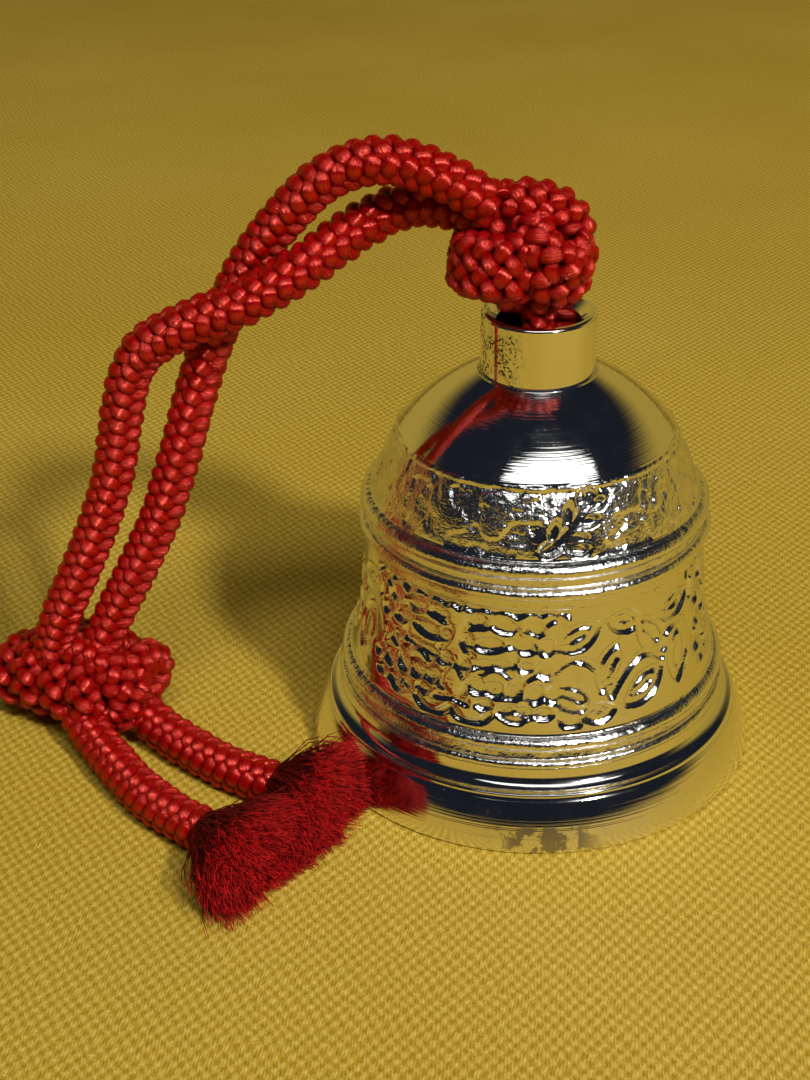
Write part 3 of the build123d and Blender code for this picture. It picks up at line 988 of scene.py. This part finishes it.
def foot_stain(nodes, around, parts):
    """A dull patch low on the front of the foot."""
    low = nodes.ramp(nodes.math("MULTIPLY", parts["Z"], 100.0), [(0.35, 1.0), (0.45, 0.0)])
    front = nodes.ramp(nodes.math("MULTIPLY", parts["Y"], -30.0), [(0.88, 0.0), (0.95, 1.0)])
    middle = nodes.math("ABSOLUTE", nodes.math("MULTIPLY_ADD", parts["X"], 100.0, -0.3))
    middle = nodes.ramp(middle, [(0.45, 1.0), (0.9, 0.0)])
    blotches = nodes.ramp(nodes.noise(around, 420.0, 4.0, 0.6), [(0.51, 0.0), (0.58, 0.6)])
    patch = nodes.math("MULTIPLY", nodes.math("MULTIPLY", low, front), middle)
    return nodes.math("MULTIPLY", patch, blotches)


def chrome_material():
    """Bright plating: polished, with turning lines, fine scratches, pits and a little tarnish."""
    nodes = Nodes("chrome_bell")
    around = nodes.mapped()
    parts = nodes.split(around)
    across = nodes.math("POWER", parts["X"], 2.0)
    deep = nodes.math("POWER", parts["Y"], 2.0)
    radial = nodes.math("SQRT", nodes.math("ADD", across, deep))
    lines = turning_lines(nodes, radial, parts["Z"])
    grime = nodes.noise(around, 260.0, 5.0, 0.6)
    spots = nodes.ramp(nodes.noise(around, 1500.0, 2.0), [(0.66, 0.0), (0.72, 1.0)])
    patches = nodes.ramp(grime, [(0.55, 0.0), (0.75, 1.0)])
    dirt = nodes.math("MAXIMUM", nodes.math("MULTIPLY", spots, patches), foot_stain(nodes, around, parts))
    colour = nodes.ramp(dirt, [(0.0, (0.90, 0.905, 0.91)), (0.8, (0.20, 0.165, 0.10))], True)
    nodes.feed(Base_Color=colour)
    wear = nodes.ramp(grime, [(0.35, 0.045), (0.75, 0.12)])
    rough = nodes.math("ADD", wear, nodes.math("MULTIPLY", dirt, 0.4))
    cast = nodes.add("ShaderNodeAttribute", attribute_name="cast").outputs["Fac"]
    nodes.feed(Roughness=nodes.math("MULTIPLY_ADD", cast, 0.05, rough))
    sand = nodes.math("MULTIPLY", nodes.noise(around, 2300.0, 2.0, 0.6), cast)
    turning = nodes.bump(lines, 0.45, 0.00006)
    nodes.feed(Normal=nodes.bump(sand, 0.35, 0.00022, turning))
    nodes.set(Metallic=1.0)
    return nodes.owner


def collar_material():
    """The same plating with dark pits on the side where the cord hangs."""
    nodes = Nodes("chrome_collar")
    around = nodes.mapped()
    parts = nodes.split(around)
    pits = nodes.ramp(nodes.noise(around, 2600.0, 3.0, 0.7), [(0.51, 0.0), (0.55, 1.0)])
    left = nodes.math("MULTIPLY_ADD", parts["X"], -110.0, 0.0)
    side = nodes.ramp(left, [(0.15, 0.0), (0.45, 1.0)])
    patch = nodes.ramp(nodes.noise(around, 420.0, 2.0), [(0.36, 0.0), (0.52, 1.0)])
    dirt = nodes.math("MULTIPLY", nodes.math("MULTIPLY", pits, side), patch)
    colour = nodes.ramp(dirt, [(0.0, (0.90, 0.905, 0.91)), (0.7, (0.05, 0.045, 0.04))], True)
    nodes.feed(Base_Color=colour)
    nodes.feed(Roughness=nodes.math("MULTIPLY_ADD", dirt, 0.5, 0.08))
    nodes.set(Metallic=1.0)
    return nodes.owner


def plain_metal(name, colour, roughness, scale):
    """A metal with an uneven finish."""
    nodes = Nodes(name)
    uneven = nodes.noise(nodes.mapped(), scale, 4.0, 0.6)
    dull = nodes.ramp(uneven, [(0.3, roughness * 0.7), (0.7, roughness * 1.5)])
    nodes.feed(Roughness=dull)
    darker = tuple(part * 0.7 for part in colour)
    nodes.feed(Base_Color=nodes.ramp(uneven, [(0.3, darker), (0.7, colour)], True))
    nodes.feed(Normal=nodes.bump(uneven, 0.25, 0.00005))
    nodes.set(Metallic=1.0)
    return nodes.owner


chrome = chrome_material()
plain_profile = profile(DOME_START, DOME_PROFILE + FOOT_PROFILE, PLAIN_STEP)
low_profile = profile(LOWER_START, LOWER_BAND, FINE_STEP)
high_profile = profile(UPPER_START, UPPER_BAND, FINE_STEP)
shell = revolved("bell_shell", plain_profile, PLAIN_COLUMNS, chrome)
band_low = revolved("bell_band_low", low_profile, FINE_COLUMNS, chrome, lower_relief)
band_high = revolved("bell_band_high", high_profile, FINE_COLUMNS, chrome, upper_relief)
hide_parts("bell_body")

METALS = {
    "neck_collar": collar_material(),
    "hanger_ring": plain_metal("steel_wire", (0.55, 0.54, 0.52), 0.28, 600.0),
    "clapper_rod": plain_metal("steel_rod", (0.50, 0.49, 0.47), 0.30, 600.0),
    "clapper_ball": plain_metal("brass_ball", (0.72, 0.52, 0.22), 0.26, 300.0),
}
for node_name, metal in METALS.items():
    bpy.data.objects[node_name].data.materials.clear()
    bpy.data.objects[node_name].data.materials.append(metal)


# ---- Table cloth, light ----
THREAD_PITCH = 0.00088        # from one warp thread to the next
ROW_PITCH = 0.00115


def cloth_material():
    """Golden woven cloth: short vertical stitches in staggered, slightly uneven rows, painted lighter on
    their raised threads.
    """
    nodes = Nodes("gold_cloth")
    place = nodes.mapped()
    parts = nodes.split(place)
    wander = nodes.noise(place, 240.0, 3.0)
    shift = nodes.math("MULTIPLY", nodes.math("SUBTRACT", wander, 0.5), 5.0)
    warp = nodes.math("MULTIPLY_ADD", parts["X"], math.pi / THREAD_PITCH, shift)
    weft = nodes.math("MULTIPLY_ADD", parts["Y"], math.pi / ROW_PITCH, shift)
    weave = nodes.math("MULTIPLY", nodes.math("SINE", warp), nodes.math("SINE", weft))
    thread = nodes.math("SINE", nodes.math("MULTIPLY", warp, 4.0))
    fuzz = nodes.noise(nodes.mapped("Object", (1.0, 0.45, 1.0)), 3200.0, 3.0, 0.7)
    height = nodes.math("MULTIPLY_ADD", weave, 0.17, 0.28)
    height = nodes.math("MULTIPLY_ADD", thread, 0.04, height)
    height = nodes.math("MULTIPLY_ADD", fuzz, 0.70, height)
    cloudy = nodes.noise(place, 9.0, 3.0)
    # The weave's height also sets the colour: raised threads and fuzz are painted lighter and paler as
    # painted highlight, and the hollows darker as painted shade; the cloudy drift is the cloth's own tone.
    tone_and_weave_light = nodes.math("MULTIPLY_ADD", nodes.math("SUBTRACT", cloudy, 0.5), 0.22, height)
    golds = [(0.25, (0.20, 0.112, 0.002)), (0.60, (0.37, 0.247, 0.024)), (1.0, (0.62, 0.46, 0.11))]
    nodes.feed(Base_Color=nodes.ramp(tone_and_weave_light, golds, True))
    nodes.feed(Normal=nodes.bump(height, 0.6, 0.0005))
    nodes.set(Roughness=0.8, Specular_IOR_Level=0.06)
    return nodes.owner


WINDOW_PLACE = (0.22, -0.76, 1.40)
WINDOW_PANES = ((1.8, 4.0), (1.3, 6.0), (0.9, 6.0))    # width in metres and power in watts
WINDOW_SHAPE = 0.26           # a pane's height for its width
LAMP_PLACE = (0.78, -0.98, 1.06)
LAMP_SIZE = 0.16
LAMP_POWER = 24.0
LIGHT_AIM = (0.0, 0.0, 0.03)


def area_light(name, place, width, height, power, colour):
    """An oval light that faces the bell."""
    data = bpy.data.lights.new(name, "AREA")
    data.shape = "ELLIPSE"
    data.size = width
    data.size_y = height
    data.energy = power
    data.color = colour
    light = bpy.data.objects.new(name, data)
    bpy.context.collection.objects.link(light)
    light.location = place
    heading = Vector(LIGHT_AIM) - Vector(place)
    light.rotation_euler = heading.to_track_quat("-Z", "Y").to_euler()


CLOTH_HALF = 3.0
CLOTH_CORNERS = [(x * CLOTH_HALF, y * CLOTH_HALF, 0) for x, y in ((-1, -1), (1, -1), (1, 1), (-1, 1))]
mesh_piece("cloth", CLOTH_CORNERS, [(0, 1, 2, 3)], [cloth_material()], smooth=False)

# The window is brightest in its middle: three panes of different widths, one behind another.
for pane_width, pane_power in WINDOW_PANES:
    pane_height = WINDOW_SHAPE * pane_width
    area_light("window", WINDOW_PLACE, pane_width, pane_height, pane_power, (1.0, 0.97, 0.92))
area_light("lamp", LAMP_PLACE, LAMP_SIZE, LAMP_SIZE, LAMP_POWER, (1.0, 0.94, 0.84))


def make_room():
    """A dark room: the gold cloth rises behind the bell, and darkness lies in front and beside it."""
    nodes = Nodes("room", bpy.data.worlds, "Background")
    direction = nodes.split(nodes.add("ShaderNodeTexCoord").outputs["Generated"])
    low = nodes.step(direction["Z"], 0.62, 0.30)
    behind = nodes.step(direction["Y"], -0.15, 0.25)
    walls = nodes.add("ShaderNodeMix", data_type="RGBA", A=(0.009, 0.011, 0.016, 1), B=(0.36, 0.25, 0.04, 1))
    nodes.link(nodes.math("MULTIPLY", low, behind), walls.inputs["Factor"])
    nodes.feed(Color=walls.outputs["Result"])
    bpy.context.scene.world = nodes.owner


make_room()
bpy.context.scene.view_settings.view_transform = "Standard"
